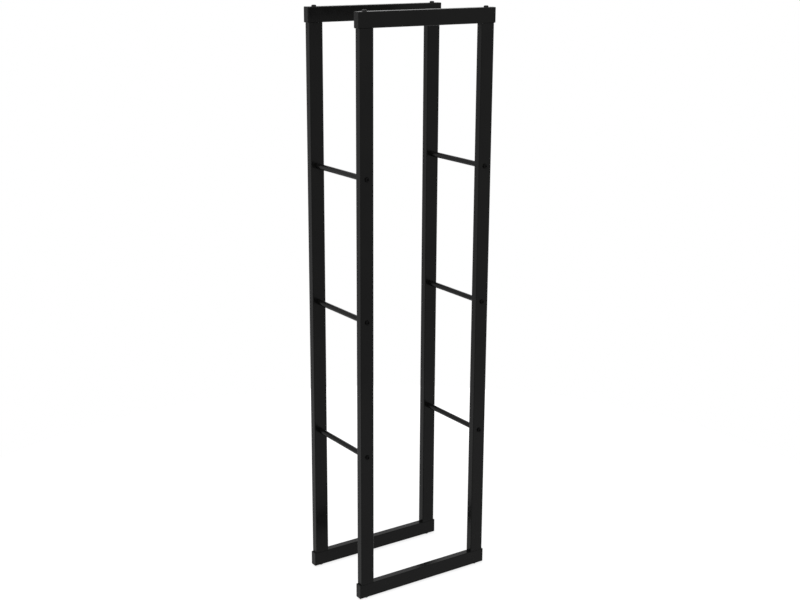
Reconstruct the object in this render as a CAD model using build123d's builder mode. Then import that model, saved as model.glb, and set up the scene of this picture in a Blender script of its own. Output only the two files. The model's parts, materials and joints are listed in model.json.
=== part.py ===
"""Firewood log rack: two bolted frames of rectangular steel tube, tied together by round cross rods.

Millimetres. X runs across the front, Y from the front frame to the rear one, Z up.
The origin is the middle of the footprint, on the floor.
"""

import os
from math import cos, pi

from build123d import *

# Overall size: over the rail end caps, over the tube faces, over the bolt heads
overall_width = 400.0
overall_depth = 248.0
overall_height = 1500.0

# Rectangular steel tube of the uprights and the rails, wide side to the front
tube_width = 38.0
tube_depth = 20.0
tube_wall = 1.0
tube_corner_radius = 2.0

# Round steel tube of the cross rods, three up each side
rod_diameter = 14.0
rod_wall = 1.0
rod_spacing = 355.0

# Moulded caps that close the rail ends: a head outside and a finned skirt inside
cap_head_thickness = 4.0
cap_corner_chamfer = 1.2
cap_edge_chamfer = 0.8
cap_skirt_length = 10.0
cap_skirt_wall = 1.6
cap_fin_count = 3
cap_fin_height = 0.9
cap_fin_thickness = 0.8
cap_clearance = 0.1

# Steel plate welded into each upright end, with a hexagon nut behind it
plate_thickness = 3.0
plate_clearance = 0.1
plate_nut_across_flats = 10.0
plate_nut_height = 5.0

# Long hexagon nut fixed in each rod end, flush with the end and tight on its corners
rod_nut_length = 10.0
rod_nut_clearance = 0.2

# Dome-head socket bolts
bolt_diameter = 6.0
bolt_hole_clearance = 0.5
thread_clearance = 0.2
bolt_past_nut = 2.0
head_diameter = 12.0
head_height = 4.0
head_rim_height = 1.6
head_flat_diameter = 7.0
socket_across_flats = 4.0
socket_depth = 2.2

# Nuts and sockets are hexagons. Shanks and bolt holes are out of sight, so they have flats in place of a round
hexagon_sides = 6
hidden_sides = 8

# Inside of the tubes
bore_width = tube_width - 2 * tube_wall
bore_depth = tube_depth - 2 * tube_wall
rod_bore = rod_diameter - 2 * rod_wall

# Bolt holes, and the plain bore that stands for a thread
bolt_hole_radius = (bolt_diameter + bolt_hole_clearance) / 2
thread_radius = (bolt_diameter + thread_clearance) / 2

# The rails close the frames above and below the uprights
rail_length = overall_width - 2 * cap_head_thickness
rail_heights = {
    "bottom": head_height + tube_width / 2,
    "top": overall_height - head_height - tube_width / 2,
}
upright_bottom = head_height + tube_width
upright_top = overall_height - head_height - tube_width
upright_length = upright_top - upright_bottom

# Axes of the uprights in plan: their outer sides are flush with the ends of the rail tube
upright_x = rail_length / 2 - tube_width / 2
frame_y = overall_depth / 2 - tube_depth / 2

# The rods butt on the inner faces of the uprights, at three levels about the middle of their length
rod_length = overall_depth - 2 * tube_depth
rod_levels = {"lower": -rod_spacing, "middle": 0.0, "upper": rod_spacing}
rack_middle_z = (upright_bottom + upright_top) / 2

# Bolt shanks, measured from under the head
rail_bolt_length = tube_width + plate_thickness + plate_nut_height + bolt_past_nut
rod_bolt_length = tube_depth + rod_nut_length + bolt_past_nut


# Upright: a tube standing on its lower end, drilled front to rear on the rod axes
with BuildPart() as upright:
    with BuildSketch():
        RectangleRounded(tube_width, tube_depth, tube_corner_radius)
        Rectangle(bore_width, bore_depth, mode=Mode.SUBTRACT)
    extrude(amount=upright_length)
    with BuildSketch(Plane.XZ):
        with Locations(*[(0, upright_length / 2 + level) for level in rod_levels.values()]):
            RegularPolygon(bolt_hole_radius, hidden_sides, major_radius=False)
    extrude(amount=tube_depth, both=True, mode=Mode.SUBTRACT)

# Rail: the same tube lying along X, drilled top to bottom on the upright axes
with BuildPart() as rail:
    with BuildSketch(Plane.YZ.offset(-rail_length / 2)):
        RectangleRounded(tube_depth, tube_width, tube_corner_radius)
        Rectangle(bore_depth, bore_width, mode=Mode.SUBTRACT)
    extrude(amount=rail_length)
    with BuildSketch():
        with Locations((-upright_x, 0), (upright_x, 0)):
            RegularPolygon(bolt_hole_radius, hidden_sides, major_radius=False)
    extrude(amount=tube_width, both=True, mode=Mode.SUBTRACT)

# Rail end cap: its head is up, and its skirt hangs down into the tube on thin gripping fins
cap_fit_width = bore_width - 2 * cap_clearance
cap_fit_depth = bore_depth - 2 * cap_clearance
skirt_width = cap_fit_width - 2 * cap_fin_height
skirt_depth = cap_fit_depth - 2 * cap_fin_height
fin_pitch = cap_skirt_length / (cap_fin_count + 1)
with BuildPart() as rail_cap:
    with BuildSketch() as cap_outline:
        Rectangle(tube_width, tube_depth)
        chamfer(cap_outline.vertices(), cap_corner_chamfer)
    extrude(amount=cap_head_thickness)
    chamfer(rail_cap.faces().sort_by(Axis.Z)[-1].edges(), cap_edge_chamfer)
    with BuildSketch():
        Rectangle(skirt_width, skirt_depth)
        Rectangle(skirt_width - 2 * cap_skirt_wall, skirt_depth - 2 * cap_skirt_wall, mode=Mode.SUBTRACT)
    extrude(amount=-cap_skirt_length)
    with BuildSketch(*[Plane.XY.offset(-fin_pitch * (fin + 1)) for fin in range(cap_fin_count)]):
        Rectangle(cap_fit_width, cap_fit_depth)
        Rectangle(skirt_width, skirt_depth, mode=Mode.SUBTRACT)
    extrude(amount=-cap_fin_thickness)

# Cross rod: a round tube along Y
with BuildPart() as rod:
    with BuildSketch(Plane.XZ.offset(-rod_length / 2)):
        Circle(rod_diameter / 2)
        Circle(rod_bore / 2, mode=Mode.SUBTRACT)
    extrude(amount=rod_length)

# Upright end plate: its outer face is up, flush with the end of the tube
with BuildPart() as end_plate:
    with BuildSketch():
        Rectangle(bore_width - 2 * plate_clearance, bore_depth - 2 * plate_clearance)
        RegularPolygon(bolt_hole_radius, hidden_sides, major_radius=False, mode=Mode.SUBTRACT)
    extrude(amount=-plate_thickness)


def make_nut(across_flats, height):
    """A hexagon nut hanging down from the face that meets the plate or the rod's end."""
    with BuildPart() as nut:
        with BuildSketch():
            RegularPolygon(across_flats / 2, hexagon_sides, major_radius=False)
            RegularPolygon(thread_radius, hidden_sides, major_radius=False, mode=Mode.SUBTRACT)
        extrude(amount=-height)
    return nut


def make_bolt(length):
    """A dome-head bolt with its head up and the seat of the head at height zero."""
    with BuildPart() as bolt:
        with BuildSketch(Plane.XZ):
            with BuildLine():
                Polyline(
                    (0, 0),
                    (head_diameter / 2, 0),
                    (head_diameter / 2, head_rim_height),
                    (head_flat_diameter / 2, head_height),
                    (0, head_height),
                    close=True,
                )
            make_face()
        revolve(axis=Axis.Z)
        with BuildSketch():
            RegularPolygon(bolt_diameter / 2, hidden_sides)
        extrude(amount=-length)
        with BuildSketch(Plane.XY.offset(head_height)):
            RegularPolygon(socket_across_flats / 2, hexagon_sides, major_radius=False)
        extrude(amount=-socket_depth, mode=Mode.SUBTRACT)
    return bolt


plate_nut = make_nut(plate_nut_across_flats, plate_nut_height)
rod_nut = make_nut((rod_bore - 2 * rod_nut_clearance) * cos(pi / hexagon_sides), rod_nut_length)
rail_bolt = make_bolt(rail_bolt_length)
rod_bolt = make_bolt(rod_bolt_length)


def place(name, piece, *places):
    """Set copies of a piece at their places in the rack and write them as one named node."""
    with BuildPart() as node:
        with Locations(*places):
            add(piece.part)
    node.part.label = name
    export_step(node.part, f"parts/{name}.step")


# Directions of the frames and sides from the middle of the rack, and how pieces are turned there
frames = {"front": -1, "rear": 1}
sides = {"left": -1, "right": 1}
upside_down = (180, 0, 0)
head_out = {"front": (90, 0, 0), "rear": (-90, 0, 0)}
cap_out = {"left": (0, -90, 0), "right": (0, 90, 0)}

os.makedirs("parts", exist_ok=True)

# The two frames: uprights with their end plates, then rails with their end caps
for frame, toward in frames.items():
    y = toward * frame_y
    for side, across in sides.items():
        x = across * upright_x
        place(f"{frame}_{side}_upright", upright, Location((x, y, upright_bottom)))
        place(f"{frame}_{side}_top_plate", end_plate, Location((x, y, upright_top)))
        place(f"{frame}_{side}_bottom_plate", end_plate, Location((x, y, upright_bottom), upside_down))
    for level, z in rail_heights.items():
        place(f"{frame}_{level}_rail", rail, Location((0, y, z)))
        for side, across in sides.items():
            rail_end = Location((across * rail_length / 2, y, z), cap_out[side])
            place(f"{frame}_{level}_{side}_cap", rail_cap, rail_end)

# The cross rods
rod_axes = []
for side, across in sides.items():
    for level, height in rod_levels.items():
        x = across * upright_x
        z = rack_middle_z + height
        place(f"{side}_{level}_rod", rod, Location((x, 0, z)))
        rod_axes.append((x, z))

# Nuts and bolts at the rod ends
for frame, toward in frames.items():
    turn = head_out[frame]
    rod_ends = [Location((x, toward * rod_length / 2, z), turn) for x, z in rod_axes]
    outer_faces = [Location((x, toward * overall_depth / 2, z), turn) for x, z in rod_axes]
    place(f"{frame}_rod_nuts", rod_nut, *rod_ends)
    place(f"{frame}_rod_bolts", rod_bolt, *outer_faces)

# Nuts and bolts at the upright ends
corners = [(across * upright_x, toward * frame_y) for across in sides.values() for toward in frames.values()]
top_nut_z = upright_top - plate_thickness
bottom_nut_z = upright_bottom + plate_thickness
place("top_weld_nuts", plate_nut, *[Location((x, y, top_nut_z)) for x, y in corners])
place("bottom_weld_nuts", plate_nut, *[Location((x, y, bottom_nut_z), upside_down) for x, y in corners])
place("top_rail_bolts", rail_bolt, *[Location((x, y, overall_height - head_height)) for x, y in corners])
place("bottom_rail_bolts", rail_bolt, *[Location((x, y, head_height), upside_down) for x, y in corners])
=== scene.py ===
"""Looks of the firewood log rack: its tubes, caps and bolts, their finishes, and the studio."""

import json
from math import cos, pi, radians

import bmesh
import bpy
from mathutils import Matrix, Vector


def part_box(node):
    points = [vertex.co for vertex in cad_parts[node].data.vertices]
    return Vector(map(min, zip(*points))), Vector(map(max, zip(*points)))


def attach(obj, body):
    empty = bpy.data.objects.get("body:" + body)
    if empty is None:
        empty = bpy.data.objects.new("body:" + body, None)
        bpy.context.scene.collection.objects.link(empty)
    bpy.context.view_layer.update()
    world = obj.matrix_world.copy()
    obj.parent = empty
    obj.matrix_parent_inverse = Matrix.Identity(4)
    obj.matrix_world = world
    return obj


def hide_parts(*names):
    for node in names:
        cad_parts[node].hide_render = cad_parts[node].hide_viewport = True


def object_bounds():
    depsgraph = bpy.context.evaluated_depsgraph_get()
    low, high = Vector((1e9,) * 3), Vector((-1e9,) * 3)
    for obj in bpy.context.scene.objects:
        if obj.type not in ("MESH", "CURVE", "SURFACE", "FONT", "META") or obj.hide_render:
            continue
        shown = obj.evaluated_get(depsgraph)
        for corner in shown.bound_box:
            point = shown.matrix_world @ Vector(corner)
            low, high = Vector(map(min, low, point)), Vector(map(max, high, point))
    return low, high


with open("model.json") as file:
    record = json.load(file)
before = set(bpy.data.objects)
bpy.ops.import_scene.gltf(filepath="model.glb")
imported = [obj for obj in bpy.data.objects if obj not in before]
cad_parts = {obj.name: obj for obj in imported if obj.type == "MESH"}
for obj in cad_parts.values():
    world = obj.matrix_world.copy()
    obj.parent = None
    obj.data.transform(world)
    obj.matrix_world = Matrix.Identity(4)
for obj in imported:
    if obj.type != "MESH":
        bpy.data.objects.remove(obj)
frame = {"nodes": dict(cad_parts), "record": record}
cad_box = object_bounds()
rack_middle = (cad_box[0] + cad_box[1]) / 2

# Everything is in metres, so sizes in millimetres are written as a number times mm
mm = 0.001

# The words that the nodes' names are made of
frames = ("front", "rear")
sides = ("left", "right")
rail_levels = ("top", "bottom")
rod_levels = ("lower", "middle", "upper")

# Rectangular and round tube
tube_wall = 1.0 * mm
tube_corner_radius = 2.0 * mm
cut_edge_radius = 0.35 * mm
rod_wall = 1.0 * mm
bolt_hole_radius = 3.25 * mm
drill_length = 100.0 * mm

# Rail end caps
cap_face_radius = 1.1 * mm
cap_seat_radius = 0.25 * mm
cap_clearance = 0.1 * mm
cap_skirt_wall = 1.6 * mm
cap_fin_count = 3
cap_fin_height = 0.9 * mm
cap_fin_thickness = 0.8 * mm

# Dome-head bolts
bolt_radius = 3.0 * mm
bolt_tip_radius = 0.8 * mm
head_radius = 6.0 * mm
head_dome_radius = 2.5 * mm
head_seat_radius = 0.2 * mm
socket_sides = 6
socket_across_flats = 4.0 * mm
socket_depth = 2.2 * mm
socket_mouth_radius = 0.2 * mm

# How finely curves are drawn
corner_segments = 6
edge_segments = 3
dome_segments = 9
bolt_tip_segments = 1
socket_mouth_segments = 2
round_segments = 60
drill_segments = 32
floor_segments = 96
sharp_angle = radians(40)

# What counts as level, and how far the normal of a standing wall may rise
level_tolerance = 0.0001 * mm
wall_normal_rise = 0.5

# Most of a noise texture's values lie between these
noise_low = 0.3
noise_high = 0.7


# Meshing helpers

def lies_at(element, height):
    """Whether an edge or a face lies flat at a height."""
    return all(abs(v.co.z - height) < level_tolerance for v in element.verts)


def edges_at(bm, height):
    """Edges that lie flat at a height."""
    return [e for e in bm.edges if lies_at(e, height)]


def face_at(bm, height):
    """The largest face that lies flat at a height."""
    return max((f for f in bm.faces if lies_at(f, height)), key=lambda f: f.calc_area())


def soften(bm, edges, radius, segments):
    """Rounds edges off."""
    bmesh.ops.bevel(
        bm,
        geom=edges,
        offset=radius,
        offset_type="OFFSET",
        affect="EDGES",
        segments=segments,
        profile=0.5,
        material=-1,
        clamp_overlap=True,
    )


def block(width, depth, height):
    """A block centred on the origin, with its upright corners as round as the tube's."""
    bm = bmesh.new()
    bmesh.ops.create_cube(bm, size=1.0)
    bmesh.ops.scale(bm, vec=(width, depth, height), verts=bm.verts)
    upright_edges = [e for e in bm.edges if abs(e.verts[0].co.z - e.verts[1].co.z) > height / 2]
    soften(bm, upright_edges, tube_corner_radius, corner_segments)
    return bm


def round_bar(radius, length, segments):
    """A round bar standing on end, centred on the origin."""
    bm = bmesh.new()
    bmesh.ops.create_cone(
        bm, cap_ends=True, segments=segments, radius1=radius, radius2=radius, depth=length
    )
    return bm


def hollow_out(bm, length, wall):
    """Opens both ends of a bar that stands centred on the origin and bores it to a wall."""
    for end in (-length / 2, length / 2):
        soften(bm, edges_at(bm, end), cut_edge_radius, edge_segments)
    ends = [face_at(bm, end) for end in (-length / 2, length / 2)]
    bmesh.ops.inset_individual(bm, faces=ends, thickness=wall - cut_edge_radius, use_even_offset=True)
    bmesh.ops.delete(bm, geom=ends, context="FACES_ONLY")
    bmesh.ops.bridge_loops(bm, edges=[e for e in bm.edges if e.is_boundary])


def square_tube(width, depth, length):
    """A rectangular tube standing on end, centred on the origin."""
    bm = block(width, depth, length)
    hollow_out(bm, length, tube_wall)
    return bm


def round_tube(radius, length):
    """A round tube standing on end, centred on the origin."""
    bm = round_bar(radius, length, round_segments)
    hollow_out(bm, length, rod_wall)
    return bm


def extrude(bm, faces, stretch=(1, 1, 1), move=(0, 0, 0)):
    """Extrudes faces, then stretches the new end about the axis and moves it."""
    grown = bmesh.ops.extrude_face_region(bm, geom=faces)["geom"]
    bmesh.ops.delete(bm, geom=faces, context="FACES")
    verts = [g for g in grown if isinstance(g, bmesh.types.BMVert)]
    bmesh.ops.scale(bm, vec=stretch, verts=verts)
    bmesh.ops.translate(bm, vec=move, verts=verts)
    return [g for g in grown if isinstance(g, bmesh.types.BMFace)]


def change(before, after):
    """The stretch that turns one size in plan into another."""
    return (after.x / before.x, after.y / before.y, 1)


def raise_fins(bm, walls, pitch, growth):
    """Slices thin bands out of a skirt's walls and pushes them out."""
    fin_tops = [-pitch * (fin + 1) for fin in range(cap_fin_count)]
    geom = list(dict.fromkeys(g for f in walls for g in (f, *f.edges, *f.verts)))
    for top in fin_tops:
        for cut in (top, top - cap_fin_thickness):
            geom = bmesh.ops.bisect_plane(bm, geom=geom, plane_co=(0, 0, cut), plane_no=(0, 0, 1))["geom"]
    bands = [g for g in geom if isinstance(g, bmesh.types.BMFace)]
    heights = [f.calc_center_median().z for f in bands]
    for top in fin_tops:
        fin_faces = [f for f, z in zip(bands, heights) if top - cap_fin_thickness < z < top]
        extrude(bm, fin_faces, stretch=growth)


def rail_cap(width, depth, head, reach):
    """A tube end cap with its head up from the origin and its finned skirt hanging down."""
    bm = block(width, depth, head)
    bmesh.ops.translate(bm, vec=(0, 0, head / 2), verts=bm.verts)
    soften(bm, edges_at(bm, head), cap_face_radius, corner_segments)
    soften(bm, edges_at(bm, 0), cap_seat_radius, edge_segments)
    # Sizes in plan: of the seat, of the fins as they fit the tube, of the skirt, and of its bore
    both_sides = Vector((2, 2))
    seat = Vector((width, depth)) - both_sides * cap_seat_radius
    fit = Vector((width, depth)) - both_sides * (tube_wall + cap_clearance)
    skirt = fit - both_sides * cap_fin_height
    bore = skirt - both_sides * cap_skirt_wall
    # The skirt narrows from the seat, drops into the tube, and is hollow up to the head
    narrowed = extrude(bm, [face_at(bm, 0)], stretch=change(seat, skirt))
    dropped = extrude(bm, narrowed, move=(0, 0, -reach))
    bm.normal_update()
    below = [f for f in bm.faces if all(v.co.z < level_tolerance for v in f.verts)]
    walls = [f for f in below if abs(f.normal.z) < wall_normal_rise]
    mouth = extrude(bm, dropped, stretch=change(skirt, bore))
    extrude(bm, mouth, move=(0, 0, reach))
    raise_fins(bm, walls, reach / (cap_fin_count + 1), change(skirt, fit))
    return bm


def cut_socket(bm, height):
    """Sinks a hexagon socket into the flat top of a bolt's head."""
    # The top is opened and joined to a hexagon above it, which then drops level
    top = face_at(bm, height)
    brim = list(top.edges)
    bmesh.ops.delete(bm, geom=[top], context="FACES_ONLY")
    above = 2 * height
    bmesh.ops.create_circle(
        bm,
        segments=socket_sides,
        radius=socket_across_flats / 2 / cos(pi / socket_sides),
        matrix=Matrix.Translation((0, 0, above)),
    )
    bmesh.ops.subdivide_edges(bm, edges=edges_at(bm, above), cuts=round_segments // socket_sides - 1)
    mouth = edges_at(bm, above)
    bmesh.ops.bridge_loops(bm, edges=brim + mouth)
    bmesh.ops.translate(bm, vec=(0, 0, height - above), verts=list({v for e in mouth for v in e.verts}))
    # Walls and a floor follow, and the mouth is rounded
    walls = bmesh.ops.extrude_edge_only(bm, edges=mouth)["geom"]
    sunk = [g for g in walls if isinstance(g, bmesh.types.BMVert)]
    bmesh.ops.translate(bm, vec=(0, 0, -socket_depth), verts=sunk)
    bmesh.ops.contextual_create(bm, geom=[e for e in bm.edges if e.is_boundary])
    bmesh.ops.recalc_face_normals(bm, faces=bm.faces)
    soften(bm, mouth, socket_mouth_radius, socket_mouth_segments)


def dome_bolt(length, head):
    """A dome-head socket bolt with its head up and the seat of the head at the origin."""
    bm = round_bar(head_radius, head, round_segments)
    bmesh.ops.translate(bm, vec=(0, 0, head / 2), verts=bm.verts)
    soften(bm, edges_at(bm, head), head_dome_radius, dome_segments)
    soften(bm, edges_at(bm, 0), head_seat_radius, edge_segments)
    # The shank grows out of the seat
    neck = bolt_radius / (head_radius - head_seat_radius)
    narrowed = extrude(bm, [face_at(bm, 0)], stretch=(neck, neck, 1))
    extrude(bm, narrowed, move=(0, 0, -length))
    soften(bm, edges_at(bm, -length), bolt_tip_radius, bolt_tip_segments)
    cut_socket(bm, head)
    return bm


def copies(bm, places):
    """One bmesh with the shape repeated at each place."""
    shape = bpy.data.meshes.new("shape")
    bm.to_mesh(shape)
    bm.clear()
    for place in places:
        before = len(bm.verts)
        bm.from_mesh(shape)
        bm.verts.ensure_lookup_table()
        bmesh.ops.transform(bm, matrix=place, verts=bm.verts[before:])
    bpy.data.meshes.remove(shape)
    return bm


def add_object(name, bm):
    """Puts a bmesh into the scene."""
    bmesh.ops.recalc_face_normals(bm, faces=bm.faces)
    mesh = bpy.data.meshes.new(name)
    bm.to_mesh(mesh)
    bm.free()
    piece = bpy.data.objects.new(name, mesh)
    bpy.context.scene.collection.objects.link(piece)
    return piece


def drill(piece, places):
    """Cuts round bolt holes through a tube."""
    bit = round_bar(bolt_hole_radius, drill_length, drill_segments)
    bits = add_object("drill_bits", copies(bit, places))
    cut = piece.modifiers.new("bolt_holes", "BOOLEAN")
    cut.operation = "DIFFERENCE"
    cut.solver = "EXACT"
    cut.object = bits
    drilled = bpy.data.meshes.new_from_object(piece.evaluated_get(bpy.context.evaluated_depsgraph_get()))
    piece.modifiers.remove(cut)
    piece.data = drilled
    bpy.data.objects.remove(bits)


def dress(piece, finish, slot, *nodes):
    """Gives a piece its finish and lets it stand for its CAD nodes."""
    piece.data.materials.clear()
    piece.data.materials.append(finish)
    piece.data.shade_smooth()
    piece.data.set_sharp_from_angle(angle=sharp_angle)
    piece.modifiers.new("even_flats", "WEIGHTED_NORMAL").keep_sharp = True
    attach(piece, "root")
    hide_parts(*nodes)


# Finishes

def new_finish(name):
    """A new material with its node tree, its shader and its object coordinates."""
    material = bpy.data.materials.new(name)
    material.use_nodes = True
    tree = material.node_tree
    coordinates = tree.nodes.new("ShaderNodeTexCoord").outputs["Object"]
    return material, tree, tree.nodes["Principled BSDF"], coordinates


def grain(tree, coordinates, per_metre, detail=3.0, roughness=0.5):
    """Noise with a given count of grains per metre."""
    noise = tree.nodes.new("ShaderNodeTexNoise")
    noise.inputs["Scale"].default_value = per_metre
    noise.inputs["Detail"].default_value = detail
    noise.inputs["Roughness"].default_value = roughness
    tree.links.new(coordinates, noise.inputs["Vector"])
    return noise.outputs["Fac"]


def spread(tree, noise, low, high):
    """Maps noise onto a range."""
    span = tree.nodes.new("ShaderNodeMapRange")
    span.inputs["From Min"].default_value = noise_low
    span.inputs["From Max"].default_value = noise_high
    span.inputs["To Min"].default_value = low
    span.inputs["To Max"].default_value = high
    tree.links.new(noise, span.inputs["Value"])
    return span.outputs["Result"]


def tint(tree, noise, dark, light):
    """Maps noise onto two colours."""
    ramp = tree.nodes.new("ShaderNodeValToRGB")
    ramp.color_ramp.elements[0].position = noise_low
    ramp.color_ramp.elements[1].position = noise_high
    ramp.color_ramp.elements[0].color = (*dark, 1)
    ramp.color_ramp.elements[1].color = (*light, 1)
    tree.links.new(noise, ramp.inputs["Fac"])
    return ramp.outputs["Color"]


def relief(tree, noise, depth, strength, under=None):
    """Bump of a given depth, on top of another bump where there is one."""
    bump = tree.nodes.new("ShaderNodeBump")
    bump.inputs["Strength"].default_value = strength
    bump.inputs["Distance"].default_value = depth
    tree.links.new(noise, bump.inputs["Height"])
    if under is not None:
        tree.links.new(under, bump.inputs["Normal"])
    return bump.outputs["Normal"]


def link_finish(tree, shader, colour, roughness, bump):
    """Gives a shader its colour, its roughness and its bump."""
    tree.links.new(colour, shader.inputs["Base Color"])
    tree.links.new(roughness, shader.inputs["Roughness"])
    tree.links.new(bump, shader.inputs["Normal"])


def powder_coat():
    """Satin black powder coat: a soft orange peel with a fine grain on it."""
    material, tree, shader, coordinates = new_finish("black_powder_coat")
    clouds = grain(tree, coordinates, per_metre=14)
    smears = grain(tree, coordinates, per_metre=45, detail=7.0, roughness=0.65)
    peel = grain(tree, coordinates, per_metre=700, detail=1.0)
    fine_grain = grain(tree, coordinates, per_metre=2200, detail=2.0)
    colour = tint(tree, clouds, dark=(0.0045, 0.0045, 0.0045), light=(0.0068, 0.0067, 0.0064))
    roughness = spread(tree, smears, low=0.2, high=0.3)
    peel_bump = relief(tree, peel, depth=0.009 * mm, strength=0.5)
    bump = relief(tree, fine_grain, depth=0.003 * mm, strength=0.5, under=peel_bump)
    link_finish(tree, shader, colour, roughness, bump)
    shader.inputs["IOR"].default_value = 1.2
    return material


def cap_plastic():
    """Moulded black plastic with an eroded matt grain."""
    material, tree, shader, coordinates = new_finish("moulded_black_plastic")
    clouds = grain(tree, coordinates, per_metre=60)
    smears = grain(tree, coordinates, per_metre=500)
    eroded_grain = grain(tree, coordinates, per_metre=1900, detail=4.0)
    colour = tint(tree, clouds, dark=(0.005, 0.005, 0.0051), light=(0.0075, 0.0075, 0.0074))
    roughness = spread(tree, smears, low=0.36, high=0.46)
    bump = relief(tree, eroded_grain, depth=0.03 * mm, strength=0.6)
    link_finish(tree, shader, colour, roughness, bump)
    shader.inputs["IOR"].default_value = 1.2
    return material


def black_zinc(name, smoothest, roughest, ior):
    """Black zinc on steel bolts, dull or with a sheen."""
    material, tree, shader, coordinates = new_finish(name)
    clouds = grain(tree, coordinates, per_metre=240)
    smears = grain(tree, coordinates, per_metre=700)
    crystals = grain(tree, coordinates, per_metre=2600)
    colour = tint(tree, clouds, dark=(0.0014, 0.0014, 0.0015), light=(0.0028, 0.0027, 0.0026))
    roughness = spread(tree, smears, low=smoothest, high=roughest)
    bump = relief(tree, crystals, depth=0.01 * mm, strength=0.4)
    link_finish(tree, shader, colour, roughness, bump)
    shader.inputs["IOR"].default_value = ior
    return material


def bright_zinc():
    """Bright zinc on the plates and nuts inside the tubes."""
    material, tree, shader, coordinates = new_finish("bright_zinc")
    clouds = grain(tree, coordinates, per_metre=180)
    smears = grain(tree, coordinates, per_metre=420)
    crystals = grain(tree, coordinates, per_metre=1500)
    colour = tint(tree, clouds, dark=(0.5, 0.5, 0.5), light=(0.62, 0.62, 0.6))
    roughness = spread(tree, smears, low=0.28, high=0.42)
    bump = relief(tree, crystals, depth=0.01 * mm, strength=0.4)
    link_finish(tree, shader, colour, roughness, bump)
    shader.inputs["Metallic"].default_value = 1.0
    return material


tube_finish = powder_coat()
cap_finish = cap_plastic()
rail_bolt_finish = black_zinc("black_zinc_with_sheen", smoothest=0.3, roughest=0.4, ior=1.25)
rod_bolt_finish = black_zinc("dull_black_zinc", smoothest=0.5, roughest=0.62, ior=1.15)
inner_finish = bright_zinc()

# Turns of the pieces from standing up to their place
lie_along_x = Matrix.Rotation(pi / 2, 4, "Y")
lie_along_y = Matrix.Rotation(pi / 2, 4, "X")
outward = {
    "left": Matrix.Rotation(-pi / 2, 4, "Y"),
    "right": Matrix.Rotation(pi / 2, 4, "Y"),
    "front": Matrix.Rotation(pi / 2, 4, "X"),
    "rear": Matrix.Rotation(-pi / 2, 4, "X"),
    "top": Matrix.Identity(4),
    "bottom": Matrix.Rotation(pi, 4, "X"),
}


def middle(node):
    """The middle of a CAD node's box."""
    low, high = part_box(node)
    return (low + high) / 2


def extent(node):
    """The size of a CAD node's box."""
    low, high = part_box(node)
    return high - low


# Uprights, drilled front to rear where the rods meet them
for side in sides:
    rod_heights = [middle(f"{side}_{level}_rod").z for level in rod_levels]
    for frame_name in frames:
        node = f"{frame_name}_{side}_upright"
        centre = middle(node)
        size = extent(node)
        bm = square_tube(size.x, size.y, size.z)
        bmesh.ops.translate(bm, vec=centre, verts=bm.verts)
        upright = add_object(f"{node}_tube", bm)
        drill(upright, [Matrix.Translation((centre.x, centre.y, z)) @ lie_along_y for z in rod_heights])
        dress(upright, tube_finish, "powder_coated_tube", node)

# Rails, drilled top to bottom on the axes of the uprights
for frame_name in frames:
    upright_axes = [middle(f"{frame_name}_{side}_upright") for side in sides]
    for level in rail_levels:
        node = f"{frame_name}_{level}_rail"
        centre = middle(node)
        size = extent(node)
        bm = square_tube(size.z, size.y, size.x)
        bmesh.ops.transform(bm, matrix=Matrix.Translation(centre) @ lie_along_x, verts=bm.verts)
        rail = add_object(f"{node}_tube", bm)
        drill(rail, [Matrix.Translation((axis.x, axis.y, centre.z)) for axis in upright_axes])
        dress(rail, tube_finish, "powder_coated_tube", node)

# Cross rods
for side in sides:
    for level in rod_levels:
        node = f"{side}_{level}_rod"
        size = extent(node)
        bm = round_tube(size.x / 2, size.y)
        bmesh.ops.transform(bm, matrix=Matrix.Translation(middle(node)) @ lie_along_y, verts=bm.verts)
        dress(add_object(f"{node}_tube", bm), tube_finish, "powder_coated_rod", node)

# Rail end caps, with their heads outside the ends of the rails and their skirts inside
for frame_name in frames:
    for level in rail_levels:
        rail_low, rail_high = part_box(f"{frame_name}_{level}_rail")
        for side in sides:
            node = f"{frame_name}_{level}_{side}_cap"
            low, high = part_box(node)
            centre = middle(node)
            size = extent(node)
            rail_end = rail_low.x if side == "left" else rail_high.x
            head = rail_low.x - low.x if side == "left" else high.x - rail_high.x
            bm = rail_cap(size.z, size.y, head, size.x - head)
            seat = Matrix.Translation((rail_end, centre.y, centre.z))
            bmesh.ops.transform(bm, matrix=seat @ outward[side], verts=bm.verts)
            dress(add_object(f"{node}_moulding", bm), cap_finish, "cap_plastic", node)

# Bolts through the rails into the uprights
head_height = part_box("front_bottom_rail")[0].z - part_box("bottom_rail_bolts")[0].z
for level in rail_levels:
    node = f"{level}_rail_bolts"
    seats = []
    for frame_name in frames:
        rail_low, rail_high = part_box(f"{frame_name}_{level}_rail")
        seat_z = rail_high.z if level == "top" else rail_low.z
        for side in sides:
            axis = middle(f"{frame_name}_{side}_upright")
            seats.append(Matrix.Translation((axis.x, axis.y, seat_z)) @ outward[level])
    bm = copies(dome_bolt(extent(node).z - head_height, head_height), seats)
    dress(add_object(f"{node}_domed", bm), rail_bolt_finish, "blackened_bolt", node)

# Bolts through the uprights into the rods
for frame_name in frames:
    node = f"{frame_name}_rod_bolts"
    seats = []
    for side in sides:
        low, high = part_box(f"{frame_name}_{side}_upright")
        seat_y = low.y if frame_name == "front" else high.y
        for level in rod_levels:
            axis = middle(f"{side}_{level}_rod")
            seats.append(Matrix.Translation((axis.x, seat_y, axis.z)) @ outward[frame_name])
    bm = copies(dome_bolt(extent(node).y - head_height, head_height), seats)
    dress(add_object(f"{node}_domed", bm), rod_bolt_finish, "blackened_bolt", node)

# Plates and nuts inside the tubes keep their CAD shapes
for subpart in frame["record"]["subparts"]:
    if subpart["material_slot"] == "zinc_plated_steel":
        inner = frame["nodes"][subpart["node"]]
        inner.data.materials.clear()
        inner.data.materials.append(inner_finish)


# Studio

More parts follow.
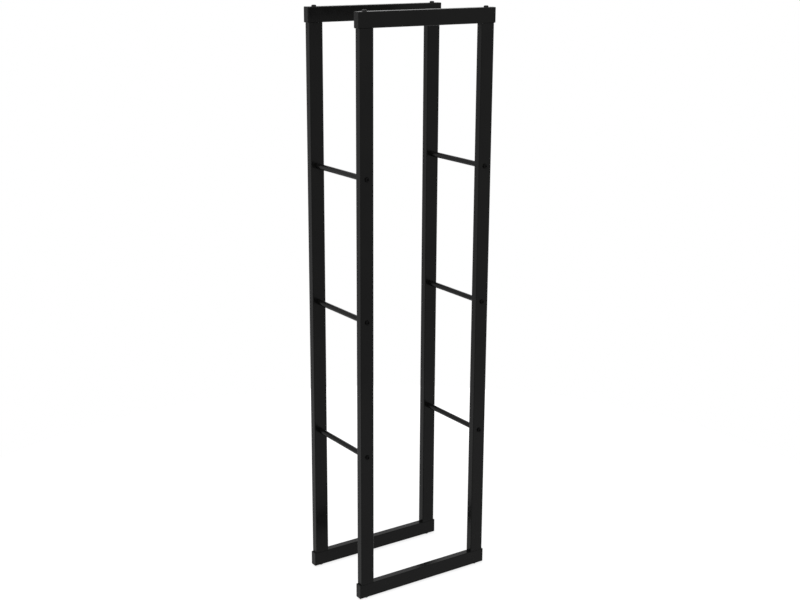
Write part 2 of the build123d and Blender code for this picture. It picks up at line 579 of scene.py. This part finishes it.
def ramp_between(tree, value, near, far, at_near, at_far):
    """Eases from one level to another as a value goes from near to far."""
    ease = tree.nodes.new("ShaderNodeMapRange")
    ease.interpolation_type = "SMOOTHSTEP"
    ease.inputs["From Min"].default_value = near
    ease.inputs["From Max"].default_value = far
    ease.inputs["To Min"].default_value = at_near
    ease.inputs["To Max"].default_value = at_far
    tree.links.new(value, ease.inputs["Value"])
    return ease.outputs["Result"]


def combine(tree, operation, first, second):
    """Joins two values by a product, or takes the larger of the two."""
    step = tree.nodes.new("ShaderNodeMath")
    step.operation = operation
    tree.links.new(first, step.inputs[0])
    tree.links.new(second, step.inputs[1])
    return step.outputs["Value"]


def in_plain_view(tree):
    """Whether a ray comes from the camera, straight, through glass or by a reflection."""
    path = tree.nodes.new("ShaderNodeLightPath").outputs
    direct = combine(tree, "MAXIMUM", path["Is Camera Ray"], path["Is Transmission Ray"])
    return combine(tree, "MAXIMUM", direct, path["Is Glossy Ray"])


def pale_floor(radius, grey, roughness):
    """A round matt floor that fades into the white round it."""
    bm = bmesh.new()
    bmesh.ops.create_circle(bm, cap_ends=True, segments=floor_segments, radius=radius)
    floor = add_object("studio_floor", bm)
    material, tree, shader, coordinates = new_finish("pale_floor")
    shader.inputs["Base Color"].default_value = (grey, grey, grey, 1)
    shader.inputs["Roughness"].default_value = roughness
    shader.inputs["Specular IOR Level"].default_value = 0.0
    shader.inputs["Emission Color"].default_value = (1, 1, 1, 1)
    measure = tree.nodes.new("ShaderNodeVectorMath")
    measure.operation = "LENGTH"
    tree.links.new(coordinates, measure.inputs[0])
    distance = measure.outputs["Value"]
    white = ramp_between(tree, distance, near=0.3, far=radius, at_near=0.8, at_far=1.0)
    seen = combine(tree, "MULTIPLY", in_plain_view(tree), white)
    tree.links.new(seen, shader.inputs["Emission Strength"])
    floor.data.materials.append(material)


def studio_world(fill):
    """White in plain view and in reflections, and a faint even fill on the rack."""
    world = bpy.data.worlds.new("studio")
    bpy.context.scene.world = world
    world.use_nodes = True
    tree = world.node_tree
    background = tree.nodes["Background"]
    background.inputs["Color"].default_value = (1, 1, 1, 1)
    strength = ramp_between(tree, in_plain_view(tree), near=0.0, far=1.0, at_near=fill, at_far=1.0)
    tree.links.new(strength, background.inputs["Strength"])


def softbox(name, place, size, watts):
    """A square lamp that faces the middle of the rack."""
    lamp = bpy.data.lights.new(name, "AREA")
    lamp.size = size
    lamp.energy = watts
    box = bpy.data.objects.new(name, lamp)
    aim = rack_middle - Vector(place)
    box.matrix_world = Matrix.Translation(place) @ aim.to_track_quat("-Z", "Y").to_matrix().to_4x4()
    bpy.context.scene.collection.objects.link(box)


pale_floor(radius=1.5, grey=0.4, roughness=0.9)
studio_world(fill=0.2)
softbox("left_softbox", place=(-2.2, -2.4, 3.4), size=2.2, watts=55)
softbox("top_softbox", place=(-0.4, 0.2, 3.8), size=3.0, watts=65)

# Camera at the photograph's place, worked out from the straight edges of the rack, with angles in radians
camera_place = (-1.89842, -2.78845, 1.68564)
camera_yaw = 0.6006
camera_pitch = -0.2847
camera_roll = 0.0057
lens = bpy.data.cameras.new("camera")
lens.sensor_fit = "HORIZONTAL"
lens.sensor_width = 36.0
lens.lens = 60.63
lens.shift_x = -0.0028
lens.shift_y = 0.0251
camera = bpy.data.objects.new("camera", lens)
camera.matrix_world = (
    Matrix.Translation(camera_place)
    @ Matrix.Rotation(-camera_yaw, 4, "Z")
    @ Matrix.Rotation(pi / 2 + camera_pitch, 4, "X")
    @ Matrix.Rotation(camera_roll, 4, "Z")
)
bpy.context.scene.collection.objects.link(camera)
bpy.context.scene.camera = camera
bpy.context.scene.view_settings.view_transform = "Standard"
